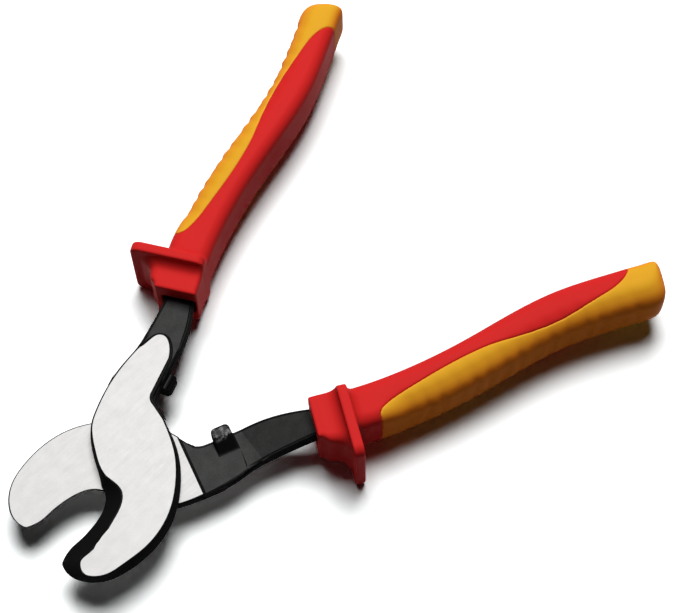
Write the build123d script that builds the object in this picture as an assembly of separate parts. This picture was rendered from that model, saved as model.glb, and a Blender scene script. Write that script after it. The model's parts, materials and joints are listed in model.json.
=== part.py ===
from build123d import *
from math import cos, radians, sin
import os

# Insulated two-hand cable cutter, opened.  Millimetres and degrees.
# Each lever is drawn closed: pivot axis at the origin, handle along +X, faces of the two levers meeting at Z = 0.
# The two levers are one forging used twice, the lower one turned over about the X axis.

# ---- pose ----
half_opening = 20.5        # each lever is turned this far from its closed place
opens_further = 14.0       # further travel of the upper lever past the drawn pose

# ---- forging: head, neck and shank ----
head_thickness = 6.0       # of one lever at the joint and jaw
jaw_reach = 45.4           # pivot axis to the jaw's end
jaw_back = 22.2            # pivot line to the back of the jaw
edge_past_centre = 2.0     # how far the middle of a cutting edge passes the closed centre line
bevel_width = 6.6          # of the cutting edge's long slope
wall_draft = 0.9           # how much the forged side walls lean in over the head's thickness
upright_tip = 4.0          # length of jaw tip whose back wall doesn't lean
neck_edge = 20.8           # pivot line to the neck's outer edge
crotch_x = 12.4            # pivot axis to the bottom of the jaw mouth
mating_end = 18.9          # pivot axis to the end of the ground mating face
relief = 0.8               # the shank stands this far below both ground faces
face_end = 48.2            # pivot axis to the nose of the ground outer face
blade_gap = 0.04           # running gap between the two mating faces
bend_start = 40.0          # the shank is offset between these two places
bend_end = 64.0
shank_thickness = 6.4
shank_width = 10.6         # where it enters the handle
edge_break = 0.5           # chamfer along the shank

# ---- stop lugs ----
lug_start = 29.5           # pivot axis to the lug's near side
lug_length = 7.0           # along the shank
lug_height = 3.0           # past the mating plane
lug_depth = 9.2            # across the shank, from the stop face to the foot of the ramp
lug_top = 4.6              # across the shank, from the stop face to the top of the ramp
stop_gap = 0.05            # each stop face to the closed centre plane
lug_slope = 1.6            # of its sloped back, at the stop face
stop_corner_radius = 1.6
nose_radius = 1.1

# ---- pivot ----
pivot_diameter = 10.0
pivot_clearance = 0.05     # radial, in the lower lever
head_diameter = 16.0       # countersunk head, ground flush
head_depth = 3.0
spring_diameter = 20.0
spring_thickness = 0.9
spring_dish = 0.35         # height of the disc spring's cone
thread_diameter = 8.0
thread_play = 0.2          # radial, round the thread in spring and washer
washer_diameter = 18.0
washer_thickness = 1.2
nut_across_flats = 15.0
nut_thickness = 4.2
nut_chamfer = 0.6

# ---- handles ----
collar_start = 63.6        # pivot axis to the collar's front, on the handle's centre line
handle_end = 204.8         # pivot axis to the butt, on the inner edge
butt_slant = 4.2           # the butt's outer corner is this much nearer to the pivot
handle_offset = 14.0       # closed centre plane to the handle's centre line, where the collar starts
bow_depth = 4.6
handle_width = 16.0
handle_thickness = 22.0
handle_round = 4.6
butt_inner_round = 2.6
butt_outer_round = 6.0
front_tilt = 10.2          # collar and guard are square to the handle's bowed front end
collar_width = 16.6
collar_thickness = 21.6
collar_round = 1.6
collar_front_round = 0.7
guard_setback = 10.2       # collar front to guard front
guard_thickness = 3.8
guard_width = 27.9
guard_height = 31.4
guard_outer_corner = 3.8
guard_inner_corner = 3.2
guard_round = 0.6
flare_rise = 3.4           # how far the collar's flat faces rise to the guard
flare_spread = 7.6         # how far its outer side runs down the guard
flare_round = 5.0          # how much rounder its outer corners are there
heel_rise = 3.2            # how far the grip rises to the guard behind it
heel_length = 4.2
ripple_count = 15
ripple_pitch = 6.5
ripple_depth = 0.5
ripple_radius = 6.0

# ---- what the handle holds ----
tang_end = 172.0
tang_width = 7.6
liner_wall = 1.2
core_wall = 1.8            # of the red sleeve where the soft grip covers it
liner_setback = 4.0        # liner's front edge behind the collar's front
grip_tip = 192.2           # where the colour boundary meets the inner edge
grip_start = 85.2          # front end of the soft grip on the outer edge
smooth_front = 11.8        # length of grip ahead of the first hollow

os.makedirs("parts", exist_ok=True)

# Centre line of the handle: it leaves the shank outwards, bows in and flares out again at the butt.
handle_length = handle_end - collar_start
bow = [(0.0, 0.0), (0.12, 0.59), (0.26, 0.89), (0.44, 0.61), (0.62, -0.02), (0.71, -0.11), (0.83, 0.2), (1.0, 0.72)]
centre_line = [(collar_start + along * handle_length, handle_offset + rise * bow_depth) for along, rise in bow]
bow_curve = Spline(centre_line)


def centre_at(x):
    """Place of the handle's centre line at one distance from the pivot axis."""
    low, high = 0.0, 1.0
    for _ in range(30):
        middle = (low + high) / 2
        if (bow_curve @ middle).X < x:
            low = middle
        else:
            high = middle
    return (bow_curve @ low).Y


def shifted(points, side):
    """The same points moved sideways by one distance."""
    return [(x, y + side) for x, y in points]


def closed_face(*edges):
    """A flat face inside edges that follow one another."""
    return Face(Wire(list(edges)))


def polygon(points):
    """A flat face inside straight sides."""
    return Face(Wire.make_polygon(points))


def prism(face, low, high):
    """The face, drawn at Z = 0, extruded between two levels."""
    return Pos(0, 0, low) * extrude(face, amount=high - low, dir=(0, 0, 1))


# ---- lever ----
mouth = jaw_reach - crotch_x


def jaw_point(share, rise):
    """A point of the cutting edge or its bevel, by shares of the mouth's length and of the bevel's width."""
    return (-crotch_x - share * mouth, edge_past_centre + rise * bevel_width)


def neck_point(along, across, lean=0.0):
    """A point of the neck, by shares of the ground nose's length past the mating face and of the neck edge's place."""
    return (mating_end + along * (face_end - mating_end), across * neck_edge + lean)


def leaned_in(point, centre, distance):
    """The point moved towards a centre by one distance."""
    gap = Vector(*centre) - Vector(*point)
    moved = Vector(*point) + gap.normalized() * distance
    return (moved.X, moved.Y)


def leaning(x):
    """Share of the wall draft at one place along the jaw's back: none at the tip, all of it from mid-jaw on."""
    return max(0.0, min(1.0, (x + jaw_reach - upright_tip) / upright_tip))


def head_outline(level_share):
    """Outline of jaw and joint plate, at the mating plane (0) or at the ground outer face (1)."""
    outer = level_share == 1
    lean = wall_draft * level_share
    middle = (-jaw_reach / 3, 0)
    if outer:
        slope = [(0.968, -1.106), (0.955, -0.87), (0.933, -0.7), (0.899, -0.555), (0.865, -0.465), (0.825, -0.44),
                 (0.757, -0.56), (0.671, -0.74), (0.56, -0.88), (0.44, -0.93), (0.25, -0.97), (0.095, -0.91),
                 (-0.006, -0.64), (-0.06, -0.08), (-0.088, 0.48)]
    else:
        slope = [(1.0, -0.61), (1.0, -0.3), (0.991, -0.07), (0.973, 0.19), (0.943, 0.43), (0.918, 0.57), (0.898, 0.62),
                 (0.861, 0.645), (0.782, 0.64), (0.7, 0.56), (0.603, 0.37), (0.41, 0.09), (0.23, 0.0), (0.11, 0.11),
                 (0.024, 0.39), (-0.015, 0.64)]
    edge = [jaw_point(share, rise) for share, rise in slope]
    shoulder = [(-0.4, 0.46), (-0.17, 0.654), (0.03, 0.8), (0.28, 0.933), (0.635, 1.0)]
    shoulder = [leaned_in((x * mating_end, y * neck_edge), (mating_end, 0), lean) for x, y in shoulder]
    crest = [neck_point(0.137, 0.99, -lean / 3), neck_point(0.379, 0.952, -lean / 3)]
    rear = neck_point(0.727, 0.837, -lean / 3)
    nose = [neck_point(0.901, 0.707), neck_point(0.983, 0.615), neck_point(0.997, 0.51), neck_point(0.932, 0.365)]
    inner_rear = neck_point(0.71, 0.212, lean / 3)
    notch = neck_point(0.239, 0.197, lean / 3)
    notch_arc = neck_point(0.16, 0.168, lean / 3)
    notch_low = neck_point(0.109, 0.077, lean / 3)
    heel = neck_point(-0.01, -0.187, lean / 3)
    flank = [(0.75 * mating_end, -0.43), (0.45 * mating_end, -0.65), (0.0, -0.86)]
    jaw = [(-0.2, -0.99), (-0.42, -1.01), (-0.617, -0.91), (-0.806, -0.712), (-0.885, -0.585), (-0.955, -0.395)]
    back = [*flank, *[(share * jaw_reach, drop) for share, drop in jaw]]
    back = [leaned_in((x, drop * jaw_back), middle, lean * leaning(x)) for x, drop in back]
    return [
        Spline(edge),
        Spline([edge[-1], *shoulder, *crest, rear]),
        Spline([rear, *nose, inner_rear]),
        Line(inner_rear, notch),
        ThreePointArc(notch, notch_arc, notch_low),
        Line(notch_low, heel),
        Spline([heel, *back, edge[0]]),
    ]


entry_point = (collar_start, handle_offset - 0.12 * shank_width)   # middle of the shank where it enters the collar


def strip_line(extra=0.0):
    """Centre points of the tang, or of what wraps it, from inside the collar to the end."""
    first = collar_start + guard_setback + guard_thickness
    length = tang_end + extra - first
    steps = [first + share * length for share in (0.0, 0.2, 0.4, 0.6, 0.8, 1.0)]
    return [(x, centre_at(x)) for x in steps]


def shank_outline():
    """Outline of neck, shank and tang, seen along the pivot axis."""
    tang = strip_line()
    base = neck_point(-0.235, 0.856)
    corner = neck_point(-0.235, -0.288)
    hook = [neck_point(0.239, 0.144), neck_point(0.137, 0.096), neck_point(0.055, -0.038)]
    heel = neck_point(-0.007, -0.163)
    outer = Spline([base, neck_point(0.068, 0.986), neck_point(0.379, 0.957), neck_point(0.771, 0.851),
                    neck_point(1.061, 0.841), *shifted([entry_point], shank_width / 2), *shifted(tang, tang_width / 2)])
    inner = Spline([*reversed(shifted(tang, -tang_width / 2)), *shifted([entry_point], -shank_width / 2),
                    neck_point(0.959, 0.16), neck_point(0.584, 0.15), hook[0]])
    return closed_face(outer, Line(outer @ 1, inner @ 0), inner, ThreePointArc(*hook), Line(hook[-1], heel),
                       Line(heel, corner), Line(corner, base))


def side_slab(points):
    """A side view in the XZ plane, made thick enough to cut through the whole lever."""
    view = polygon([(x, 0, z) for x, z in points])
    return extrude(view, amount=3 * neck_edge, dir=(0, 1, 0), both=True)


def make_shank():
    """Neck, offset shank and tang."""
    half = shank_thickness / 2
    high = head_thickness - relief
    view = [(0, relief), (bend_start, relief), (bend_end, -half), (tang_end + 1, -half),
            (tang_end + 1, half), (bend_end, half), (bend_start + 0.2 * (bend_end - bend_start), high), (0, high)]
    shank = prism(shank_outline(), -half - 1, high) & side_slab(view)
    return chamfer(shank.edges().filter_by(GeomType.BSPLINE), edge_break)


def make_lug():
    """Stop lug: a bar across the shank that reaches past the mating plane, with a ramp at its outer end."""
    foot = head_thickness / 2
    tip = -lug_height
    view = [(stop_gap, foot - lug_slope), (stop_gap + lug_slope, foot), (lug_depth + 2.0, foot), (lug_depth, relief),
            (lug_top, tip), (stop_gap, tip)]
    face = polygon([(0, y, z) for y, z in view])
    lug = Pos(lug_start, 0, 0) * extrude(face, amount=lug_length, dir=(1, 0, 0))
    stop_corners = [e for e in lug.edges().filter_by(Axis.Z) if abs(e.center().Y - stop_gap) < 0.01]
    lug = fillet(stop_corners, stop_corner_radius)
    nose = [e for e in lug.edges() if abs(e.center().Z - tip) < 0.01 and e.center().Y < stop_gap + stop_corner_radius]
    return fillet(nose, nose_radius)


def make_lever():
    """One forging, with its pivot hole not yet made."""
    low = Wire(head_outline(0))
    high = Pos(0, 0, head_thickness) * Wire(head_outline(1))
    head = Part() + Solid.make_loft([low, high], ruled=True)
    head -= Pos(mating_end, -jaw_reach, -relief) * Box(jaw_reach, 2 * jaw_reach, 2 * relief, align=Align.MIN)
    return head + make_shank() + make_lug()


# ---- pivot ----
thread_radius = thread_diameter / 2
stack_top = -head_thickness - blade_gap / 2


def turned(points):
    """A body of revolution about the pivot axis, from a half section of (radius, height) points."""
    return Part() + revolve(polygon([(r, 0, z) for r, z in points]), axis=Axis.Z, revolution_arc=360)


def bolt_stack():
    """Heights of the spring, washer, nut and bolt end below the lower lever."""
    spring_low = stack_top - spring_thickness - spring_dish
    washer_low = spring_low - washer_thickness
    nut_low = washer_low - nut_thickness
    return spring_low, washer_low, nut_low


def bolt_section(journal_radius):
    """Half section of the bolt, or of the seat it fills in the upper lever."""
    top = head_thickness + blade_gap / 2
    end = bolt_stack()[2] - nut_chamfer
    return [(0, top), (head_diameter / 2, top), (journal_radius, top - head_depth), (journal_radius, stack_top + 0.3),
            (thread_radius, stack_top + 0.3), (thread_radius, end + nut_chamfer), (thread_radius - nut_chamfer, end),
            (0, end)]


def make_nut():
    """Hexagon nut with chamfered corners on its outer face."""
    washer_low, nut_low = bolt_stack()[1:]
    corner = nut_across_flats / cos(radians(30)) / 2
    hexagon = prism(Face(Wire(RegularPolygon(corner, 6).edges())), nut_low, washer_low)
    inner = corner - 2 * nut_chamfer
    envelope = turned([(0, nut_low), (inner, nut_low), (corner + 0.1, nut_low + nut_chamfer), (corner + 0.1, washer_low),
                       (0, washer_low)])
    return (hexagon & envelope) - turned([(0, nut_low - 1), (thread_radius, nut_low - 1),
                                          (thread_radius, washer_low + 1), (0, washer_low + 1)])


def ring(inner, outer, low, high):
    """A flat ring about the pivot axis."""
    return turned([(inner, low), (outer, low), (outer, high), (inner, high)])


def make_spring():
    """Disc spring: a shallow cone that bears on the lever with its rim and on the washer with its hole's edge."""
    low = bolt_stack()[0]
    hole = thread_radius + thread_play
    rim = spring_diameter / 2
    return turned([(hole, low), (rim, stack_top - spring_thickness), (rim, stack_top), (hole, low + spring_thickness)])


# ---- handles ----
front = Pos(collar_start, centre_at(collar_start), 0) * Rot(0, 0, front_tilt)


def handle_outline():
    """Outline of the grip part of a handle, from the guard to the butt."""
    half = handle_width / 2
    start = guard_setback + guard_thickness / 2
    line = [point for point in centre_line if collar_start + 1.5 * start < point[0] < handle_end - handle_width]
    inner_start = front * Pos(start, -half, 0)
    outer_start = front * Pos(start, half, 0)
    inner_end = (handle_end, centre_at(handle_end) - half)
    outer_end = (handle_end - butt_slant, centre_at(handle_end) + half)
    inner = Spline([inner_start.position, *shifted(line, -half), inner_end])
    outer = Spline([outer_end, *reversed(shifted(line, half)), outer_start.position])
    return closed_face(inner, Line(inner_end, outer_end), outer, Line(outer @ 1, inner @ 0))


def section(setback, inner, outer, half_height, outer_round, inner_round=collar_round):
    """A rounded rectangle square to the handle's front end: how far it reaches to each side of the centre, and up."""
    corners = [(-half_height, -inner), (half_height, -inner), (half_height, outer), (-half_height, outer)]
    shape = fillet(polygon(corners).vertices().sort_by(Axis.Y)[:2], inner_round)
    shape = fillet(shape.vertices().sort_by(Axis.Y)[-2:], outer_round)
    return Plane(front * Pos(setback, 0, 0) * Rot(0, 90, 0)) * shape


def flare(sections):
    """A smooth solid through cross-sections of the sleeve."""
    return Part() + Solid.make_loft([section(*values).wire() for values in sections])


def butt_corners(grip):
    """Upright edges at the butt, from the inner to the outer."""
    return grip.edges().filter_by(Axis.Z).filter_by(lambda e: e.center().X > handle_end - handle_width).sort_by(Axis.Y)


def make_handle_body():
    """The whole outer shape of one handle: collar, guard and grip, before it is divided."""
    top = handle_thickness / 2
    grip = prism(handle_outline(), -top, top)
    grip = fillet(butt_corners(grip)[-1], butt_outer_round)
    grip = fillet(butt_corners(grip)[0], butt_inner_round)
    rims = [e for e in grip.edges() if abs(abs(e.center().Z) - top) < 0.01 and e.center().X > bend_end + handle_width]
    grip = fillet(rims, handle_round)
    inner = handle_width / 2
    side = collar_width - inner
    high = collar_thickness / 2
    rises = [(0.0, 0.0, 0.0), (0.3, 0.0, 0.18), (0.58, 0.0, 0.34), (0.76, 0.1, 0.48), (0.9, 0.4, 0.75), (1.0, 0.9, 1.0),
             (1.04, 1.3, 1.1)]
    collar = flare([(along * guard_setback, inner - 0.1, side + spread * flare_spread, high + rise * flare_rise,
                     collar_round + spread * flare_round) for along, rise, spread in rises])
    collar = fillet(collar.faces().sort_by(Axis.X)[0].edges(), collar_front_round)
    back = guard_setback + guard_thickness
    heel = flare([(back + along * heel_length, inner - 0.1, inner - 0.1, top + rise * heel_rise, handle_round, handle_round)
                  for along, rise in [(-0.2, 1.3), (0.0, 0.95), (0.15, 0.55), (0.35, 0.25), (0.65, 0.04), (1.0, -0.2)]])
    guard = Pos(guard_setback, guard_width / 2 - inner, 0) * Box(
        guard_thickness, guard_width, guard_height, align=(Align.MIN, Align.CENTER, Align.CENTER))
    corners = guard.edges().filter_by(Axis.X).sort_by(Axis.Y)
    guard = fillet(corners[2:], guard_outer_corner)
    guard = fillet(guard.edges().filter_by(Axis.X).sort_by(Axis.Y)[:2], guard_inner_corner)
    guard = fillet(guard.edges().filter_by(Axis.X, reverse=True), guard_round)
    return grip + collar + heel + front * guard


def wrap(extra, start):
    """A solid round the tang, larger than it by one wall all over, from inside the collar to past the tang's end."""
    half = tang_width / 2 + extra
    half_entry = shank_width / 2 + extra
    tang = strip_line(extra)
    outer = Spline([*shifted([entry_point], half_entry), *shifted(tang, half)])
    inner = Spline([*reversed(shifted(tang, -half)), *shifted([entry_point], -half_entry)])
    ahead = [(entry_point[0] - half_entry, entry_point[1] + side) for side in (-half_entry, half_entry)]
    plan = closed_face(outer, Line(outer @ 1, inner @ 0), inner, Line(inner @ 1, ahead[0]), Line(ahead[0], ahead[1]),
                       Line(ahead[1], outer @ 0))
    level = shank_thickness / 2 + extra
    solid = prism(plan, -level, level)
    trim = Box(shank_width * 3, shank_width * 6, shank_width * 3, align=(Align.MAX, Align.CENTER, Align.CENTER))
    return solid - front * Pos(start, 0, 0) * trim


def grip_region():
    """Everything on the soft grip's side of the colour boundary: the outer side, and the whole butt."""
    top = handle_thickness
    half = handle_width / 2
    front_end = [(grip_start, 0.91), (grip_start + 0.1 * half, 0.64), (grip_start + 0.55 * half, 0.36)]
    middle = [(0.258, 0.04), (0.343, -0.14), (0.428, -0.15), (0.492, -0.02), (0.555, 0.23), (0.626, 0.44),
              (0.704, 0.45), (0.789, 0.16), (0.853, -0.16)]
    middle = [(collar_start + along * handle_length, across) for along, across in middle]
    rear_end = [(grip_tip - 0.39 * half, -0.53), (grip_tip - 0.09 * half, -0.9), (grip_tip, -1.5)]
    line = [(x, centre_at(x) + across * half) for x, across in [*front_end, *middle, *rear_end]]
    boundary = Spline(line)
    beyond = handle_end + handle_width
    aside = centre_at(handle_end) + 2 * handle_width
    corners = [line[-1], (beyond, line[-1][1]), (beyond, aside), (grip_start, aside), line[0]]
    sides = [Line(start, end) for start, end in zip(corners, corners[1:])]
    return prism(closed_face(boundary, *sides), -top, top)


def ripple_cutters():
    """Rods that press a row of shallow hollows into the grip's outer side."""
    rods = []
    for index in range(ripple_count):
        x = grip_start + smooth_front + index * ripple_pitch
        y = centre_at(x) + handle_width / 2 + ripple_radius - ripple_depth
        rods.append(Pos(x, y, 0) * Cylinder(ripple_radius, handle_thickness))
    return rods


def make_handle(lever):
    """Liner, red sleeve and soft grip of one handle, round the lever's tang."""
    body = make_handle_body()
    core = wrap(liner_wall + core_wall, 0.0)
    grip = (body & grip_region()) - core
    for rod in ripple_cutters():
        grip -= rod
    sleeve = body - grip_region() + (body & core) - wrap(liner_wall, -1.0)
    liner = wrap(liner_wall, liner_setback) - lever
    return liner, sleeve, grip


# ---- assembly ----
def as_upper(piece):
    """Turns a piece drawn closed to its place in the opened tool, on the upper lever."""
    return Pos(0, 0, blade_gap / 2) * Rot(0, 0, half_opening) * piece


def as_lower(piece):
    """Turns the same piece over, to its place on the lower lever."""
    return Pos(0, 0, -blade_gap / 2) * Rot(0, 0, -half_opening) * Rot(180, 0, 0) * piece


lever = make_lever()
liner, sleeve, grip = make_handle(lever)
bore_radius = pivot_diameter / 2 + pivot_clearance
bolt = turned(bolt_section(pivot_diameter / 2))
seat = Pos(0, 0, -blade_gap / 2) * bolt
bore = Cylinder(bore_radius, 4 * head_thickness)

pieces = {
    "upper_lever": as_upper(lever - seat),
    "lower_lever": as_lower(lever - bore),
    "pivot_bolt": bolt,
    "pivot_spring": make_spring(),
    "pivot_washer": ring(thread_radius + thread_play, washer_diameter / 2, bolt_stack()[1], bolt_stack()[0]),
    "pivot_nut": make_nut(),
    "upper_liner": as_upper(liner),
    "upper_sleeve": as_upper(sleeve),
    "upper_grip": as_upper(grip),
    "lower_liner": as_lower(liner),
    "lower_sleeve": as_lower(sleeve),
    "lower_grip": as_lower(grip),
}

# The origin is under the middle of the opened tool's box.
extent = Compound(children=[Part() + piece for piece in pieces.values()]).bounding_box()
origin = Vector((extent.min.X + extent.max.X) / 2, (extent.min.Y + extent.max.Y) / 2, extent.min.Z)
pivot_place = (-origin.X, -origin.Y, -origin.Z)

for name, piece in pieces.items():
    placed = Pos(*pivot_place) * piece
    export_step(placed, f"parts/{name}.step")

print("pivot", pivot_place, "size", extent.size)
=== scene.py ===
import json
import math
from typing import NamedTuple

import bpy
from mathutils import Matrix, Vector


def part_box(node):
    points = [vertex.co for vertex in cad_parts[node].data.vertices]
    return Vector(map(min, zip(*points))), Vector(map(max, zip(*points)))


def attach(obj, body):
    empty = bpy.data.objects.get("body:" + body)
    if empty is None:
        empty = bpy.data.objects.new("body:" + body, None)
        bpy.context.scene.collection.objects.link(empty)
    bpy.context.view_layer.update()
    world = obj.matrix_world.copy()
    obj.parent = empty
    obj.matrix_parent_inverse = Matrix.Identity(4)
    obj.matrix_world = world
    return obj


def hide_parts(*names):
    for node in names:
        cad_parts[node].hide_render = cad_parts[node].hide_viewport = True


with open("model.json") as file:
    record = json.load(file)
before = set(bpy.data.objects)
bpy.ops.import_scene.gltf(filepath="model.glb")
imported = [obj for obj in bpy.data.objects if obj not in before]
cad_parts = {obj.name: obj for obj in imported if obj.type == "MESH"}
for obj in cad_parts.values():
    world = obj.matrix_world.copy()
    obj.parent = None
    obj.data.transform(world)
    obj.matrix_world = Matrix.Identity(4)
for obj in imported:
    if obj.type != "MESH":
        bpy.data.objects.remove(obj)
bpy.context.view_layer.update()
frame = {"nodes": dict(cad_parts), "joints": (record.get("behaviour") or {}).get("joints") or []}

bl_info = {
    "name": "Cable cutter",
    "version": (1, 0, 0),
    "blender": (4, 5, 0),
    "location": "3D View > Sidebar > Cutter",
    "description": "Dresses the packed cable cutter: ground and scaled steel, red sleeves, soft amber grips",
    "category": "Object",
}

PIVOT = Vector(frame["joints"][0]["pos_m"])
MM = 0.001
ARM_SIGN = {"lower": 1, "upper": -1}    # the upper arm is the lower one turned over

# Sizes of the solids that the looks go by
PIVOT_RIM = 9.5 * MM                # rims nearer to the pivot than this are ground flush and stay sharp
BOLT_RADIUS = 4.0 * MM              # end of the bolt
LUG_REACH = 44.0 * MM               # from the pivot to past the stop lugs
CAD_ROUND = 4.6 * MM                # rims of the handles
MATING_GAP = 0.02 * MM              # from the pivot's level to each lever's mating face

# Meshes
MERGE_DISTANCE = 0.002 * MM
FLAT_ANGLE = math.radians(0.4)      # faces that meet at less than this are one flat face
SMOOTH_ANGLE = math.radians(32)     # edges softer than this are shaded smooth
BREAK_ANGLE = math.radians(38)      # edges sharper than this are broken
SMOOTH_FACTOR = 0.5                 # share of the way that one round of smoothing goes
SEAM_NEAR = 0.5 * MM                # from the sleeve, where the grip's seam starts to come free
SEAM_FAR = 5.0 * MM                 # and where it is free
FADE_LENGTH = 14.0 * MM             # over which the large side round starts at the grip's front end
RIPPLE_START = 7.0 * MM             # from the grip's front end
RIPPLE_STOP = 14.0 * MM             # from the butt
RIPPLE_SHARE = {"lower": 0.25, "upper": 0.85}   # of the full depth
RIPPLE_FACING = 0.8                 # least share of the normal that points outward under a ripple
RIPPLE_FADE = 0.12                  # and how much more of it gives the full depth

# Stage
FLOOR_SIZE = 0.9
FLOOR_PLAY = 0.02 * MM              # under the guards' rims
RIM_PLAY = 0.1 * MM                 # how far above the lowest level the rims' corners may be
FLOOR_LEAN = 0.5                    # share of the lean at which the floor meets the bolt's end
FLOOR_SEEN = (1.27, 1.3, 1.3, 1)    # what the camera sees: a little over white, so that the floor burns out
FLOOR_BOUNCE = 0.24                 # what lights the tool from below
SENSOR_WIDTH = 36.0                 # in millimetres, as the focal length
CLIP_START = 0.01
CLIP_END = 20.0


# ---------------------------------------------------------------- settings

class CutterLeverSettings(bpy.types.PropertyGroup):
    """Sizes and colours of the two forged levers and the pivot."""

    ground_colour: bpy.props.FloatVectorProperty(
        name="Ground steel", description="Colour of the ground flat faces", subtype="COLOR", size=3,
        min=0.0, max=1.0, default=(0.455, 0.45, 0.443))
    scale_colour: bpy.props.FloatVectorProperty(
        name="Forging scale", description="Colour of the dark forged surface", subtype="COLOR", size=3,
        min=0.0, max=1.0, default=(0.039, 0.039, 0.038))
    edge_break: bpy.props.FloatProperty(
        name="Edge break", description="Width of the small dark break along the forging's edges",
        unit="LENGTH", default=0.6 * MM, min=0.0)
    zinc_colour: bpy.props.FloatVectorProperty(
        name="Zinc", description="Colour of the plated washer, spring and nut", subtype="COLOR", size=3,
        min=0.0, max=1.0, default=(0.52, 0.52, 0.5))


class CutterHandleSettings(bpy.types.PropertyGroup):
    """Sizes and colours of the sleeves and grips."""

    red: bpy.props.FloatVectorProperty(
        name="Sleeve red", description="Colour of the hard red sleeve", subtype="COLOR", size=3,
        min=0.0, max=1.0, default=(0.61, 0.02, 0.019))
    amber: bpy.props.FloatVectorProperty(
        name="Grip amber", description="Colour of the soft grip", subtype="COLOR", size=3,
        min=0.0, max=1.0, default=(0.73, 0.365, 0.021))
    # Painted shade: the grip's upright sides get this more orange colour, as the shaded sides look
    amber_shaded_side: bpy.props.FloatVectorProperty(
        name="Grip side", description="Colour of the soft grip's upright sides", subtype="COLOR", size=3,
        min=0.0, max=1.0, default=(0.9, 0.235, 0.015))
    grain: bpy.props.FloatProperty(
        name="Remesh step", description="Size of the faces that round off the mouldings",
        unit="LENGTH", default=0.42 * MM, min=0.1 * MM)
    softening: bpy.props.IntProperty(
        name="Softening", description="Rounds of smoothing over the mouldings' edges", default=4,
        min=0, max=30)
    side_softening: bpy.props.IntProperty(
        name="Side softening", description="Rounds of smoothing over the grips' outer sides", default=140,
        min=0, max=400)
    side_round: bpy.props.FloatProperty(
        name="Side round", description="Radius of the upper rims along the handles' outer sides",
        unit="LENGTH", default=8.8 * MM, min=CAD_ROUND, max=11.0 * MM)
    ripple_pitch: bpy.props.FloatProperty(
        name="Ripple pitch", description="Length of one finger ripple", unit="LENGTH",
        default=4.7 * MM, min=1.0 * MM)
    ripple_depth: bpy.props.FloatProperty(
        name="Ripple depth", description="Depth of the finger ripples", unit="LENGTH",
        default=0.38 * MM, min=0.0)


class CutterStageSettings(bpy.types.PropertyGroup):
    """Lamp, surrounding light and camera."""

    azimuth: bpy.props.FloatProperty(
        name="Camera azimuth", description="Turn of the camera round the tool", subtype="ANGLE",
        default=math.radians(-43.607))
    elevation: bpy.props.FloatProperty(
        name="Camera elevation", description="Height of the camera above the horizon", subtype="ANGLE",
        default=math.radians(63.416))
    roll: bpy.props.FloatProperty(
        name="Camera roll", description="Turn of the camera about its own line of sight", subtype="ANGLE",
        default=math.radians(-1.914))
    distance: bpy.props.FloatProperty(
        name="Camera distance", description="From the lens to the point that it is aimed at", unit="LENGTH",
        default=0.690)
    lens: bpy.props.FloatProperty(
        name="Focal length", description="Focal length of the camera in millimetres", default=101.82)
    aim: bpy.props.FloatVectorProperty(
        name="Aim", description="What the camera is aimed at, from the pivot", subtype="TRANSLATION", size=3,
        default=(0.0915, -0.01215, 0.011))
    key: bpy.props.FloatProperty(
        name="Key lamp", description="Strength of the large overhead lamp in watts", default=51.0)
    key_tilt: bpy.props.FloatProperty(
        name="Key tilt", description="How far the lamp leans from straight overhead, away from the camera",
        subtype="ANGLE", default=math.radians(23))
    key_swing: bpy.props.FloatProperty(
        name="Key swing", description="How far the lamp leans to the camera's right", subtype="ANGLE",
        default=math.radians(2))
    key_width: bpy.props.FloatProperty(
        name="Key width", description="Width of the lamp, across the view", unit="LENGTH", default=1.1)
    key_depth: bpy.props.FloatProperty(
        name="Key depth", description="Depth of the lamp, away from the camera", unit="LENGTH", default=1.1)
    key_height: bpy.props.FloatProperty(
        name="Key distance", description="From the lamp to the tool", unit="LENGTH", default=2.0)
    ambient: bpy.props.FloatProperty(
        name="Ambient", description="Strength of the light from all round", default=0.003)


# ---------------------------------------------------------------- shared helpers

def only(obj):
    """Selects one object and nothing else, and makes it active."""
    if bpy.context.object and bpy.context.object.mode != "OBJECT":
        bpy.ops.object.mode_set(mode="OBJECT")
    bpy.ops.object.select_all(action="DESELECT")
    obj.hide_set(False)
    obj.select_set(True)
    bpy.context.view_layer.objects.active = obj


def copy_of(node, name):
    """A merged copy of a CAD node's mesh as an object of its own, at the origin."""
    source = frame["nodes"][node]
    only(source)
    bpy.ops.object.duplicate()
    obj = bpy.context.object
    obj.name = name
    obj.data.name = name
    matrix = obj.matrix_world.copy()
    obj.parent = None
    obj.matrix_world = matrix
    obj.data.materials.clear()
    bpy.ops.mesh.customdata_custom_splitnormals_clear()
    bpy.ops.object.mode_set(mode="EDIT")
    bpy.ops.mesh.select_all(action="SELECT")
    bpy.ops.mesh.remove_doubles(threshold=MERGE_DISTANCE)
    bpy.ops.object.mode_set(mode="OBJECT")
    return obj


def apply_modifier(obj, kind, **values):
    """Adds one modifier, sets it and applies it."""
    modifier = obj.modifiers.new(kind.title(), kind)
    for key, value in values.items():
        setattr(modifier, key, value)
    only(obj)
    bpy.ops.object.modifier_apply(modifier=modifier.name)


def seat(obj, body, slot, *nodes):
    """Puts a finished piece on its body, in place of CAD nodes."""
    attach(obj, body)
    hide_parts(*nodes)


def redress(obj, material):
    """Gives an object one material in place of those that it has."""
    obj.data.materials.clear()
    obj.data.materials.append(material)


def eased(share):
    """A share from 0 to 1 that starts and ends gently."""
    share = min(1.0, max(0.0, share))
    return share * share * (3 - 2 * share)


# ---------------------------------------------------------------- node helpers

FLOAT = "NodeSocketFloat"
VECTOR = "NodeSocketVector"
FINE_SHARE = 0.45                   # of the fine pattern in the mottle; the coarse one is the rest
COARSE_HEIGHT = 0.5


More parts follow.
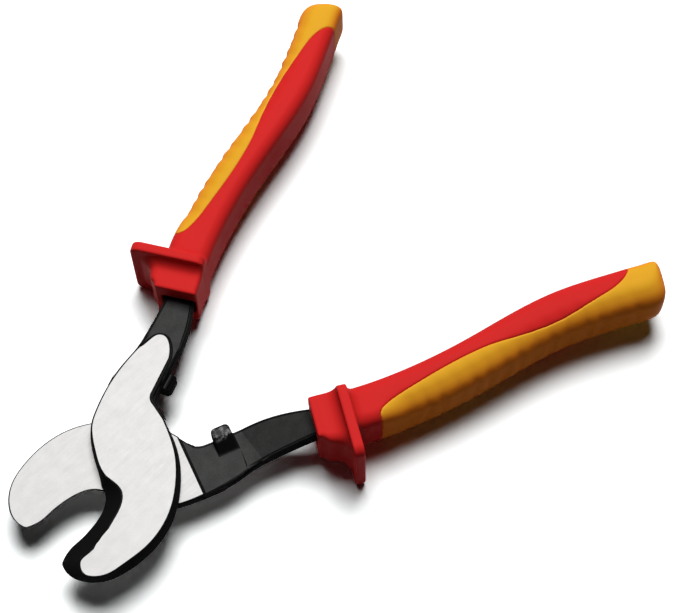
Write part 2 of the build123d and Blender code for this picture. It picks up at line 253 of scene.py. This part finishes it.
class Nodes:
    """Adds nodes to one tree with little writing."""

    def __init__(self, tree):
        self.tree = tree

    def add(self, kind, **values):
        """A new node with its own settings."""
        node = self.tree.nodes.new(kind)
        for key, value in values.items():
            setattr(node, key, value)
        return node

    def link(self, source, target):
        """Joins an output to an input."""
        self.tree.links.new(source, target)

    def feed(self, socket, value):
        """Gives an input another node's output or a plain value."""
        if isinstance(value, bpy.types.NodeSocket):
            self.link(value, socket)
        else:
            socket.default_value = value

    def math(self, operation, first, second=0.0, clamp=False):
        """One sum of two values."""
        node = self.add("ShaderNodeMath", operation=operation, use_clamp=clamp)
        self.feed(node.inputs[0], first)
        self.feed(node.inputs[1], second)
        return node.outputs[0]

    def times(self, *values):
        """The product of two or more values."""
        product = values[0]
        for value in values[1:]:
            product = self.math("MULTIPLY", product, value)
        return product

    def noise(self, vector, scale, detail=3.0, roughness=0.5):
        """A noise pattern."""
        node = self.add("ShaderNodeTexNoise")
        self.link(vector, node.inputs["Vector"])
        self.feed(node.inputs["Scale"], scale)
        node.inputs["Detail"].default_value = detail
        node.inputs["Roughness"].default_value = roughness
        return node.outputs["Fac"]

    def span(self, value, low, high, new_low=0.0, new_high=1.0):
        """Spreads one range of a value over another, and holds it at the ends."""
        node = self.add("ShaderNodeMapRange")
        for socket, entry in zip(node.inputs, (value, low, high, new_low, new_high)):
            self.feed(socket, entry)
        return node.outputs[0]

    def mix(self, factor, first, second, blend="MIX"):
        """Two colours mixed by a factor."""
        node = self.add("ShaderNodeMix", data_type="RGBA", blend_type=blend)
        self.feed(node.inputs[0], factor)
        self.feed(node.inputs[6], first)
        self.feed(node.inputs[7], second)
        return node.outputs[2]

    def mapping(self, vector, scale, rotation=(0, 0, 0)):
        """A vector turned and stretched."""
        node = self.add("ShaderNodeMapping")
        self.link(vector, node.inputs["Vector"])
        node.inputs["Rotation"].default_value = rotation
        node.inputs["Scale"].default_value = scale
        return node.outputs[0]

    def height(self, vector):
        """The Z part of a vector."""
        node = self.add("ShaderNodeSeparateXYZ")
        self.link(vector, node.inputs[0])
        return node.outputs["Z"]

    def upright(self, normal):
        """How level the surface lies by one kind of normal: 0 on walls, 1 on level faces."""
        return self.math("ABSOLUTE", self.height(self.add("ShaderNodeNewGeometry").outputs[normal]))


def group(name, inputs, outputs):
    """A new shader node group with named sockets, its helper, and its input and output nodes."""
    tree = bpy.data.node_groups.new(name, "ShaderNodeTree")
    for label, kind in inputs:
        tree.interface.new_socket(label, in_out="INPUT", socket_type=kind)
    for label, kind in outputs:
        tree.interface.new_socket(label, in_out="OUTPUT", socket_type=kind)
    n = Nodes(tree)
    return tree, n, n.add("NodeGroupInput").outputs, n.add("NodeGroupOutput").inputs


def grain_group():
    """Fine and coarse mottling over a surface, with a height for bumps."""
    name = "Surface grain"
    if name in bpy.data.node_groups:
        return bpy.data.node_groups[name]
    inputs = [("Vector", VECTOR), ("Fine scale", FLOAT), ("Coarse scale", FLOAT)]
    tree, n, given, wanted = group(name, inputs, [("Mottle", FLOAT), ("Height", FLOAT)])
    fine = n.noise(given["Vector"], given["Fine scale"], detail=4.0, roughness=0.6)
    coarse = n.noise(given["Vector"], given["Coarse scale"], detail=2.0)
    n.link(n.math("ADD", n.times(fine, FINE_SHARE), n.times(coarse, 1 - FINE_SHARE)), wanted["Mottle"])
    n.link(n.math("ADD", fine, n.times(coarse, COARSE_HEIGHT)), wanted["Height"])
    return tree


def edge_group():
    """Mask of a piece's corners: 0 on flats, 1 on sharp outer edges."""
    name = "Edge mask"
    if name in bpy.data.node_groups:
        return bpy.data.node_groups[name]
    tree, n, given, wanted = group(name, [("Radius", FLOAT), ("Gain", FLOAT)], [("Mask", FLOAT)])
    bevel = n.add("ShaderNodeBevel", samples=4)
    n.link(given["Radius"], bevel.inputs["Radius"])
    geometry = n.add("ShaderNodeNewGeometry")
    dot = n.add("ShaderNodeVectorMath", operation="DOT_PRODUCT")
    n.link(bevel.outputs[0], dot.inputs[0])
    n.link(geometry.outputs["Normal"], dot.inputs[1])
    bend = n.math("SUBTRACT", 1.0, dot.outputs["Value"])
    n.link(n.math("MULTIPLY", bend, given["Gain"], clamp=True), wanted["Mask"])
    return tree


def use_group(n, tree, **values):
    """One instance of a group in a material, with its own values."""
    node = n.add("ShaderNodeGroup", node_tree=tree)
    for key, value in values.items():
        n.feed(node.inputs[key.replace("_", " ")], value)
    return node.outputs


def scaled(colour, share=1.0):
    """A colour made lighter or darker by one factor, with its alpha."""
    return (*(min(1.0, share * part) for part in colour), 1)


def grey(shade):
    """A neutral colour with its alpha."""
    return (shade, shade, shade, 1)


def new_material(name):
    """A material with a Principled surface, its helper, its shader and its object coordinates."""
    material = bpy.data.materials.new(name)
    material.use_nodes = True
    n = Nodes(material.node_tree)
    shader = material.node_tree.nodes["Principled BSDF"]
    coords = n.add("ShaderNodeTexCoord").outputs["Object"]
    return material, n, shader, coords


def bump(n, shader, height, strength, distance):
    """Feeds a height to the shader's normal."""
    node = n.add("ShaderNodeBump")
    node.inputs["Strength"].default_value = strength
    node.inputs["Distance"].default_value = distance
    n.feed(node.inputs["Height"], height)
    n.link(node.outputs[0], shader.inputs["Normal"])


# ---------------------------------------------------------------- materials

# Ground steel
LEVEL_FACE = 0.9995                 # least upright share of the normal on a ground face
LEVEL_PLAY = 0.03 * MM
GROUND_SHADES = (0.95, 1.03)        # shares of the ground colour over the mottle
GROUND_METAL = 0.4
GROUND_ROUGHNESS = (0.58, 0.63)
SCRATCH_STRETCH = (160.0, 2600.0, 160.0)
SCRATCH_TURN = {"lower": math.radians(35), "upper": math.radians(20)}
SCRATCH_RANGE = (0.4, 0.8)
SCRATCH_COVER = 0.08
SCRATCH_GLOSS = (0.3, 0.7)
SCRATCH_RELIEF = 0.04

# Forging scale
STEEL_GRAIN = {"Fine_scale": 1500.0, "Coarse_scale": 240.0}
STEEL_MOTTLE = (0.35, 0.65)
STEEL_EDGE = {"Radius": 0.5 * MM, "Gain": 2.2}
STEEL_BUMP = 0.25
STEEL_RELIEF = 0.05 * MM
STEEL_GLOSS = 0.02
SCALE_SHADES = (0.7, 1.25)          # shares of the scale's colour over the mottle
SCALE_ROUGHNESS = (0.26, 0.42)
TOP_FACE = (0.972, 0.996)           # upright shares of the normal between the walls' look, with its painted shade, and the tops'
WALL_PAINTED_SHADE = 0.12                   # painted shade: share of the scale's colour on the walls, darker because little light falls on them
WALL_ROUGHNESS = 0.9
# Painted highlight: a lighter grey along the forging's edges
EDGE_HIGHLIGHT = (0.12, 0.12, 0.115, 1)
EDGE_HIGHLIGHT_COVER = 0.3
LUG_HEIGHT = (2.0 * MM, 2.6 * MM)   # past the mating face, where the painted glints start
GLINT_SCALE = 520.0
GLINT_RANGE = (0.5, 0.62)
GLINT_FACING = (0.3, 0.8)           # upright shares of the normal: none on the lug's walls
GLINT_GREY = 0.3
GLINT_COVER = 0.6

# Zinc
ZINC_GRAIN = {"Fine_scale": 1800.0, "Coarse_scale": 240.0}
ZINC_EDGE = {"Radius": 0.4 * MM, "Gain": 1.6}
ZINC_SHADE = 0.75                   # share of the zinc's colour in its darker spots
# Painted highlight: the zinc's edges are mixed towards this lighter sheen
ZINC_SHEEN = (0.75, 0.75, 0.73, 1)
ZINC_SHEEN_COVER = 0.5
ZINC_METAL = 0.9
ZINC_ROUGHNESS = (0.3, 0.5)
ZINC_BUMP = 0.15

# Plastics
SOFT_MOTTLE = (0.3, 0.7)            # on the zinc too
COARSE_PLASTIC = 45.0
PLASTIC_EDGE = {"Radius": 0.9 * MM, "Gain": 4.0}
PLASTIC_SHADED_SIDE = (0.45, 0.96)         # upright shares of the normal between the sides' painted shade colour and the top's colour
PLASTIC_SHADE = 0.94                # share of the colour in the darker spots
PLASTIC_ROUGHNESS = (0.45, 0.55)
PLASTIC_BUMP = 0.12
# Painted highlight on the mouldings' rims
RIM_HIGHLIGHT_COVER = 0.7
# Painted shade in the mouldings' recesses, where ambient occlusion finds the sky hidden
RECESS_REACH = 5.0 * MM
RECESS_RANGE = (0.6, 0.95)          # open share of the sky between a recess and the open surface
RECESS_PAINTED_SHADE = 0.58
LINER_GREY = (0.1, 0.1, 0.09)


def ground_mask(n, height, upright, levels):
    """Mask of the flat faces that lie at the given levels."""
    mask = 0.0
    for level in levels:
        near = n.math("COMPARE", height, level)
        near.node.inputs[2].default_value = LEVEL_PLAY
        mask = n.math("MAXIMUM", mask, near)
    return n.times(mask, n.math("GREATER_THAN", upright, LEVEL_FACE))


def lug_glint_mask(n, coords, height, upright, mating_level, lug_side):
    """Mask of painted glints, light speckles on a stop lug's upward faces, past the mating face on the side
    that the lug stands out.
    """
    above = n.times(n.math("SUBTRACT", height, mating_level), lug_side)
    reach = n.add("ShaderNodeVectorMath", operation="DISTANCE")
    n.link(coords, reach.inputs[0])
    reach.inputs[1].default_value = PIVOT
    lug = n.times(n.span(above, *LUG_HEIGHT), n.math("LESS_THAN", reach.outputs["Value"], LUG_REACH))
    spots = n.span(n.noise(coords, GLINT_SCALE, detail=4.0, roughness=0.7), *GLINT_RANGE)
    return n.times(spots, lug, n.span(upright, *GLINT_FACING))


def forged_steel(name, ground_levels, turn, lug_side=0):
    """Dark forging scale with painted shade on its walls and a painted highlight on its edges, bright steel
    on the ground levels, and painted glints on a lug past the first level.
    """
    colours = bpy.context.scene.cutter_levers
    material, n, shader, coords = new_material(name)
    height = n.height(coords)
    upright = n.upright("True Normal")
    ground = ground_mask(n, height, upright, ground_levels)
    lug_glints = lug_glint_mask(n, coords, height, upright, ground_levels[0], lug_side)
    grain = use_group(n, grain_group(), Vector=coords, **STEEL_GRAIN)
    mottle = n.span(grain["Mottle"], *STEEL_MOTTLE)
    scratches = n.noise(n.mapping(coords, SCRATCH_STRETCH, (0, 0, turn)), 1.0, detail=2.0)
    edge = use_group(n, edge_group(), **STEEL_EDGE)["Mask"]
    top = n.span(upright, *TOP_FACE)

    scratched, ground_bright = (scaled(colours.ground_colour, shade) for shade in GROUND_SHADES)
    bright = n.mix(mottle, scratched, ground_bright)
    bright = n.mix(n.span(scratches, *SCRATCH_RANGE, 0.0, SCRATCH_COVER), bright, scratched)
    dark = n.mix(mottle, *(scaled(colours.scale_colour, shade) for shade in SCALE_SHADES))
    # Painted shade: the walls get a darker share of the scale's colour than the tops
    dark = n.mix(top, scaled(colours.scale_colour, WALL_PAINTED_SHADE), dark)
    # Painted highlight: the edges are mixed towards a lighter grey
    dark = n.mix(n.times(edge, EDGE_HIGHLIGHT_COVER), dark, EDGE_HIGHLIGHT)
    # Painted highlight: light speckles of glints on the lug's upward faces
    dark = n.mix(n.times(lug_glints, GLINT_COVER), dark, grey(GLINT_GREY))
    n.link(n.mix(ground, dark, bright), shader.inputs["Base Color"])
    n.link(n.span(ground, 0.0, 1.0, 0.0, GROUND_METAL), shader.inputs["Metallic"])
    scale_roughness = n.span(grain["Mottle"], *STEEL_MOTTLE, *SCALE_ROUGHNESS)
    dark_roughness = n.mix(top, grey(WALL_ROUGHNESS), scale_roughness)
    bright_roughness = n.span(scratches, *SCRATCH_GLOSS, *GROUND_ROUGHNESS)
    n.link(n.mix(ground, dark_roughness, bright_roughness), shader.inputs["Roughness"])
    relief = n.mix(ground, grain["Height"], n.times(scratches, SCRATCH_RELIEF))
    bump(n, shader, relief, STEEL_BUMP, STEEL_RELIEF)
    shader.inputs["Specular IOR Level"].default_value = STEEL_GLOSS
    return material


def plated_steel():
    """Dull zinc on the spring, washer and nut, with a painted sheen along the edges."""
    colour = bpy.context.scene.cutter_levers.zinc_colour
    material, n, shader, coords = new_material("dull_zinc")
    grain = use_group(n, grain_group(), Vector=coords, **ZINC_GRAIN)
    edge = use_group(n, edge_group(), **ZINC_EDGE)["Mask"]
    base = n.mix(n.span(grain["Mottle"], *SOFT_MOTTLE), scaled(colour, ZINC_SHADE), scaled(colour))
    n.link(n.mix(n.times(edge, ZINC_SHEEN_COVER), base, ZINC_SHEEN), shader.inputs["Base Color"])
    n.link(n.span(grain["Mottle"], *SOFT_MOTTLE, *ZINC_ROUGHNESS), shader.inputs["Roughness"])
    shader.inputs["Metallic"].default_value = ZINC_METAL
    bump(n, shader, grain["Height"], ZINC_BUMP, STEEL_RELIEF)
    return material


def moulding(name, colour, shaded_side_colour, rim_highlight_colour, relief, gloss, grain_scale):
    """Satin plastic with moulding grain, a painted highlight on its rims, painted shade in its recesses and
    a painted shade colour on its upright sides.
    """
    material, n, shader, coords = new_material(name)
    grain = use_group(n, grain_group(), Vector=coords, Fine_scale=grain_scale, Coarse_scale=COARSE_PLASTIC)
    mottle = n.span(grain["Mottle"], *SOFT_MOTTLE)
    open_sky = n.add("ShaderNodeAmbientOcclusion", samples=8, only_local=True)
    open_sky.inputs["Distance"].default_value = RECESS_REACH
    outside = n.span(open_sky.outputs["AO"], *RECESS_RANGE)
    rim = n.times(use_group(n, edge_group(), **PLASTIC_EDGE)["Mask"], outside)
    # Painted shade: upright sides take the side colour, which stands in for their shade
    base = n.mix(n.span(n.upright("Normal"), *PLASTIC_SHADED_SIDE), scaled(shaded_side_colour), scaled(colour))
    # The mottle darkens the colour at random; the recess mask paints shade into the recesses
    for mask, shade in ((mottle, PLASTIC_SHADE), (outside, RECESS_PAINTED_SHADE)):
        base = n.mix(1.0, base, n.mix(mask, grey(shade), grey(1)), "MULTIPLY")
    # Painted highlight: the rims away from the recesses are mixed towards a lighter colour
    n.link(n.mix(n.times(rim, RIM_HIGHLIGHT_COVER), base, scaled(rim_highlight_colour)), shader.inputs["Base Color"])
    n.link(n.span(grain["Mottle"], *SOFT_MOTTLE, *PLASTIC_ROUGHNESS), shader.inputs["Roughness"])
    bump(n, shader, grain["Height"], PLASTIC_BUMP, relief)
    shader.inputs["Specular IOR Level"].default_value = gloss
    return material


# ---------------------------------------------------------------- operators

class CutterMakeLevers(bpy.types.Operator):
    """Dress both forged levers: dark scale, ground faces and broken edges"""

    bl_idname = "cutter.levers"
    bl_label = "Levers"

    def execute(self, context):
        settings = context.scene.cutter_levers
        for arm, sign in ARM_SIGN.items():
            node = f"{arm}_lever"
            low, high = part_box(node)
            mating = PIVOT.z - sign * MATING_GAP
            outer = low.z if arm == "lower" else high.z
            obj = copy_of(node, f"{arm}_forging")
            bpy.ops.object.mode_set(mode="EDIT")
            bpy.ops.mesh.select_all(action="SELECT")
            bpy.ops.mesh.dissolve_limited(angle_limit=FLAT_ANGLE)
            bpy.ops.object.mode_set(mode="OBJECT")
            bpy.ops.object.shade_smooth_by_angle(angle=SMOOTH_ANGLE)
            self.mark_edges(obj)
            apply_modifier(obj, "BEVEL", width=settings.edge_break, segments=2, limit_method="WEIGHT",
                           use_clamp_overlap=False, harden_normals=True)
            steel = forged_steel(f"{arm}_forged_steel", (mating, outer), SCRATCH_TURN[arm], sign)
            obj.data.materials.append(steel)
            seat(obj, f"{arm}_arm", "lever_steel", node)
        return {"FINISHED"}

    def mark_edges(self, obj):
        """Gives every sharp edge its break, but not the rims round the pivot, which is ground flush."""
        bpy.context.tool_settings.mesh_select_mode = (False, True, False)
        only(obj)
        bpy.ops.object.mode_set(mode="EDIT")
        bpy.ops.mesh.select_all(action="DESELECT")
        bpy.ops.mesh.edges_select_sharp(sharpness=BREAK_ANGLE)
        bpy.ops.object.mode_set(mode="OBJECT")
        places = [vertex.co for vertex in obj.data.vertices]
        for edge in obj.data.edges:
            if edge.select and all((places[i] - PIVOT).xy.length < PIVOT_RIM for i in edge.vertices):
                edge.select = False
        bpy.ops.object.mode_set(mode="EDIT")
        bpy.ops.transform.edge_bevelweight(value=1.0)
        bpy.ops.object.mode_set(mode="OBJECT")


class CutterMakePivot(bpy.types.Operator):
    """Dress the pivot bolt, disc spring, washer and nut"""

    bl_idname = "cutter.pivot"
    bl_label = "Pivot"

    def execute(self, context):
        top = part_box("pivot_bolt")[1].z
        bolt = forged_steel("bolt_steel", (top,), SCRATCH_TURN["upper"])
        zinc = plated_steel()
        for node in ("pivot_bolt", "pivot_spring", "pivot_washer", "pivot_nut"):
            redress(frame["nodes"][node], bolt if node == "pivot_bolt" else zinc)
        return {"FINISHED"}


class GripLine(NamedTuple):
    """The directions along a grip and outward from it, and where it starts and ends along itself."""

    along: Vector
    outward: Vector
    first: float
    last: float


class CutterMakeHandles(bpy.types.Operator):
    """Round off and dress the red sleeves and the soft grips"""

    bl_idname = "cutter.handles"
    bl_label = "Handles"

    def execute(self, context):
        settings = context.scene.cutter_handles
        red = moulding("sleeve_red", settings.red, settings.red, rim_highlight_colour=(0.78, 0.045, 0.044),
                       relief=0.03 * MM, gloss=0.02, grain_scale=1600.0)
        amber = moulding("grip_amber", settings.amber, settings.amber_shaded_side, rim_highlight_colour=(1.0, 0.5, 0.1),
                         relief=0.03 * MM, gloss=0.02, grain_scale=1300.0)
        liner = moulding("liner_grey", LINER_GREY, LINER_GREY, rim_highlight_colour=(0.15, 0.15, 0.14),
                         relief=0.02 * MM, gloss=0.3, grain_scale=1500.0)
        for arm in ARM_SIGN:
            sleeve = self.softened(arm, "sleeve", settings)
            self.dress(sleeve, arm, "sleeve", red, "red_sleeve")
            grip = self.softened(arm, "grip", settings)
            self.smooth_side(grip, sleeve, settings)
            line = self.grip_line(grip, arm)
            self.round_side((sleeve, grip), line, settings)
            self.ripple_side(grip, arm, line, settings)
            self.dress(grip, arm, "grip", amber, "yellow_grip")
            redress(frame["nodes"][f"{arm}_liner"], liner)
        return {"FINISHED"}

    def softened(self, arm, part, settings):
        """A copy of a sleeve or grip in small even faces, with soft edges."""
        obj = copy_of(f"{arm}_{part}", f"{arm}_{part}_moulding")
        apply_modifier(obj, "REMESH", mode="VOXEL", voxel_size=settings.grain)
        apply_modifier(obj, "SMOOTH", factor=SMOOTH_FACTOR, iterations=settings.softening)
        return obj

    def dress(self, obj, arm, part, material, slot):
        """Shades a finished sleeve or grip smooth, and puts it in its place."""
        only(obj)
        bpy.ops.object.shade_smooth()
        obj.data.materials.append(material)
        seat(obj, f"{arm}_arm", slot, f"{arm}_{part}")

    def smooth_side(self, grip, sleeve, settings):
        """Evens out the grip's outer side, and leaves its seam against the sleeve as it is."""
        free = grip.vertex_groups.new(name="free")
        free.add(range(len(grip.data.vertices)), 1.0, "REPLACE")
        apply_modifier(grip, "VERTEX_WEIGHT_PROXIMITY", vertex_group="free", target=sleeve,
                       proximity_mode="GEOMETRY", proximity_geometry={"FACE"},
                       min_dist=SEAM_NEAR, max_dist=SEAM_FAR)
        apply_modifier(grip, "SMOOTH", factor=SMOOTH_FACTOR, iterations=settings.side_softening,
                       vertex_group="free")
        grip.vertex_groups.clear()

    def grip_line(self, grip, arm):
        """The line from the grip's front tenth to its rear tenth, and how far the grip reaches along it."""
        places = sorted((vertex.co.copy() for vertex in grip.data.vertices), key=lambda place: place.x)
        tenth = len(places) // 10
        start, end = (sum(part, Vector()) / tenth for part in (places[:tenth], places[-tenth:]))
        along = (end - start).normalized()
        outward = along.cross(Vector((0, 0, 1))) * ARM_SIGN[arm]
        reaches = [place.dot(along) for place in places]
        return GripLine(along, outward, min(reaches), max(reaches))

    def round_side(self, pieces, line, settings):
        """Turns the upper rim of the handle's outer side from a small round into a large one."""
        middle = sum(corner.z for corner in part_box("lower_grip")) / 2
        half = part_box("lower_grip")[1].z - middle
        edge = {}
        for piece in pieces:
            for vertex in piece.data.vertices:
                step = int((vertex.co.dot(line.along) - line.first) / MM)
                edge[step] = max(edge.get(step, -math.inf), vertex.co.dot(line.outward))
        for piece in pieces:
            for vertex in piece.data.vertices:
                reach = (vertex.co.dot(line.along) - line.first) / MM
                if reach <= 0 or vertex.co.z < middle:
                    continue
                step = int(reach)
                share = reach - step
                outermost = edge[step] * (1 - share) + edge.get(step + 1, edge[step]) * share
                depth = max(0.0, outermost - vertex.co.dot(line.outward))
                rounded = self.profile(depth, half, settings.side_round)
                ratio = rounded / self.profile(depth, half, CAD_ROUND)
                fade = eased(reach * MM / FADE_LENGTH)
                vertex.co.z = middle + (vertex.co.z - middle) * (1 + fade * (ratio - 1))

    def profile(self, depth, half, radius):
        """Half height of a handle with rounded rims at one depth from its outer side."""
        inside = max(0.0, radius - depth)
        return half - radius + math.sqrt(radius * radius - inside * inside)

    def ripple_side(self, grip, arm, line, settings):
        """Presses the finger ripples into the grip's outer side, shallower on the lower arm."""
        full_depth = RIPPLE_SHARE[arm] * settings.ripple_depth
        length = line.last - line.first - RIPPLE_START - RIPPLE_STOP
        grip.data.update()
        normals = [vertex.normal.copy() for vertex in grip.data.vertices]
        for vertex, normal in zip(grip.data.vertices, normals):
            reach = vertex.co.dot(line.along) - line.first - RIPPLE_START
            wave = (1 - math.cos(2 * math.pi * reach / settings.ripple_pitch)) / 2
            facing = min(1.0, max(0.0, (normal.dot(line.outward) - RIPPLE_FACING) / RIPPLE_FADE))
            depth = full_depth * wave * facing
            if 0 < reach < length and depth > 0:
                vertex.co -= Vector((normal.x, normal.y, 0)).normalized() * depth


class CutterMakeStage(bpy.types.Operator):
    """Make the floor, the surrounding light, the lamp and the camera"""

    bl_idname = "cutter.stage"
    bl_label = "Stage"

    def execute(self, context):
        settings = context.scene.cutter_stage
        self.make_floor()
        self.make_world(context, settings)
        self.make_lamp(settings)
        self.make_camera(context, settings)
        context.scene.view_settings.view_transform = "Standard"
        return {"FINISHED"}

    def seen(self, n):
        """Mask of the rays that see the white surroundings: camera, glossy and transmission rays."""
        path = n.add("ShaderNodeLightPath").outputs
        direct = n.math("MAXIMUM", path["Is Camera Ray"], path["Is Glossy Ray"])
        return n.math("MAXIMUM", direct, path["Is Transmission Ray"])

    def make_floor(self):
        """A floor against the guards' rims, which leans half way towards the end of the bolt."""
        sleeve = frame["nodes"]["lower_sleeve"]
        places = [sleeve.matrix_world @ vertex.co for vertex in sleeve.data.vertices]
        rim = min(place.x for place in places if place.z < RIM_PLAY)
        bolt = Vector((PIVOT.x + BOLT_RADIUS, 0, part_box("pivot_bolt")[0].z))
        lean = FLOOR_LEAN * math.atan2(bolt.z, rim - bolt.x)
        bpy.ops.mesh.primitive_plane_add(
            size=FLOOR_SIZE, location=(rim, 0, -FLOOR_PLAY), rotation=(0, lean, 0))
        floor = bpy.context.object
        floor.name = "floor"
        bpy.ops.object.transform_apply(location=True, rotation=True, scale=True)
        material = bpy.data.materials.new("pale_floor")
        material.use_nodes = True
        tree = material.node_tree
        tree.nodes.clear()
        n = Nodes(tree)
        white = n.add("ShaderNodeBsdfDiffuse")
        n.link(n.mix(self.seen(n), grey(FLOOR_BOUNCE), FLOOR_SEEN), white.inputs["Color"])
        n.link(white.outputs[0], n.add("ShaderNodeOutputMaterial").inputs["Surface"])
        floor.data.materials.append(material)

    def make_world(self, context, settings):
        """White surroundings that give almost no light."""
        world = bpy.data.worlds.new("studio")
        context.scene.world = world
        world.use_nodes = True
        n = Nodes(world.node_tree)
        shade = world.node_tree.nodes["Background"]
        shade.inputs["Color"].default_value = grey(1)
        n.link(n.math("MAXIMUM", self.seen(n), settings.ambient), shade.inputs["Strength"])

    def make_lamp(self, settings):
        """One large lamp overhead, turned to face the tool."""
        lamp = bpy.data.lights.new("key", "AREA")
        lamp.shape = "RECTANGLE"
        lamp.size = settings.key_width
        lamp.size_y = settings.key_depth
        lamp.energy = settings.key
        key = bpy.data.objects.new("key", lamp)
        bpy.context.collection.objects.link(key)
        away = Vector((-math.sin(settings.azimuth), math.cos(settings.azimuth), 0))
        lean = away * math.sin(settings.key_tilt) + Vector((0, 0, math.cos(settings.key_tilt)))
        right = away.cross(Vector((0, 0, 1)))
        toward = lean * math.cos(settings.key_swing) + right * math.sin(settings.key_swing)
        key.location = toward * settings.key_height
        across = away.cross(toward).normalized()
        key.rotation_euler = Matrix((across, toward.cross(across), toward)).transposed().to_euler()

    def make_camera(self, context, settings):
        """The camera at its turn, height and roll round the aim."""
        camera = bpy.data.objects.new("camera", bpy.data.cameras.new("camera"))
        context.collection.objects.link(camera)
        camera.data.lens = settings.lens
        camera.data.sensor_width = SENSOR_WIDTH
        camera.data.clip_start = CLIP_START
        camera.data.clip_end = CLIP_END
        turn, lift = settings.azimuth, settings.elevation
        back = Vector((math.sin(turn) * math.cos(lift), -math.cos(turn) * math.cos(lift), math.sin(lift)))
        right = Vector((math.cos(turn), math.sin(turn), 0))
        up = back.cross(right)
        sideways = right * math.cos(settings.roll) + up * math.sin(settings.roll)
        upright = up * math.cos(settings.roll) - right * math.sin(settings.roll)
        place = PIVOT + Vector(settings.aim) + back * settings.distance
        axes = Matrix((sideways, upright, back)).transposed().to_4x4()
        camera.matrix_world = Matrix.Translation(place) @ axes
        context.scene.camera = camera


class CutterPanel(bpy.types.Panel):
    """Sidebar panel with the settings and one button for each step."""

    bl_idname = "VIEW3D_PT_cutter"
    bl_label = "Cable cutter"
    bl_space_type = "VIEW_3D"
    bl_region_type = "UI"
    bl_category = "Cutter"

    def draw(self, context):
        for name, operators in PANEL_ROWS:
            box = self.layout.box()
            settings = getattr(context.scene, name)
            for key in settings.__annotations__:
                box.prop(settings, key)
            for operator in operators:
                box.operator(operator)


PANEL_ROWS = (
    ("cutter_levers", ("cutter.levers", "cutter.pivot")),
    ("cutter_handles", ("cutter.handles",)),
    ("cutter_stage", ("cutter.stage",)),
)
SETTINGS = {
    "cutter_levers": CutterLeverSettings,
    "cutter_handles": CutterHandleSettings,
    "cutter_stage": CutterStageSettings,
}
OPERATORS = (CutterMakeLevers, CutterMakePivot, CutterMakeHandles, CutterMakeStage)
CLASSES = (*SETTINGS.values(), *OPERATORS, CutterPanel)


def register():
    """Adds the classes and the scene's settings."""
    for cls in CLASSES:
        bpy.utils.register_class(cls)
    for name, cls in SETTINGS.items():
        setattr(bpy.types.Scene, name, bpy.props.PointerProperty(type=cls))


def unregister():
    """Takes the settings and the classes away again."""
    for name in SETTINGS:
        delattr(bpy.types.Scene, name)
    for cls in reversed(CLASSES):
        bpy.utils.unregister_class(cls)


def main():
    """Builds the looks in order."""
    register()
    bpy.ops.cutter.stage()
    bpy.ops.cutter.levers()
    bpy.ops.cutter.pivot()
    bpy.ops.cutter.handles()


if __name__ == "__main__":
    main()
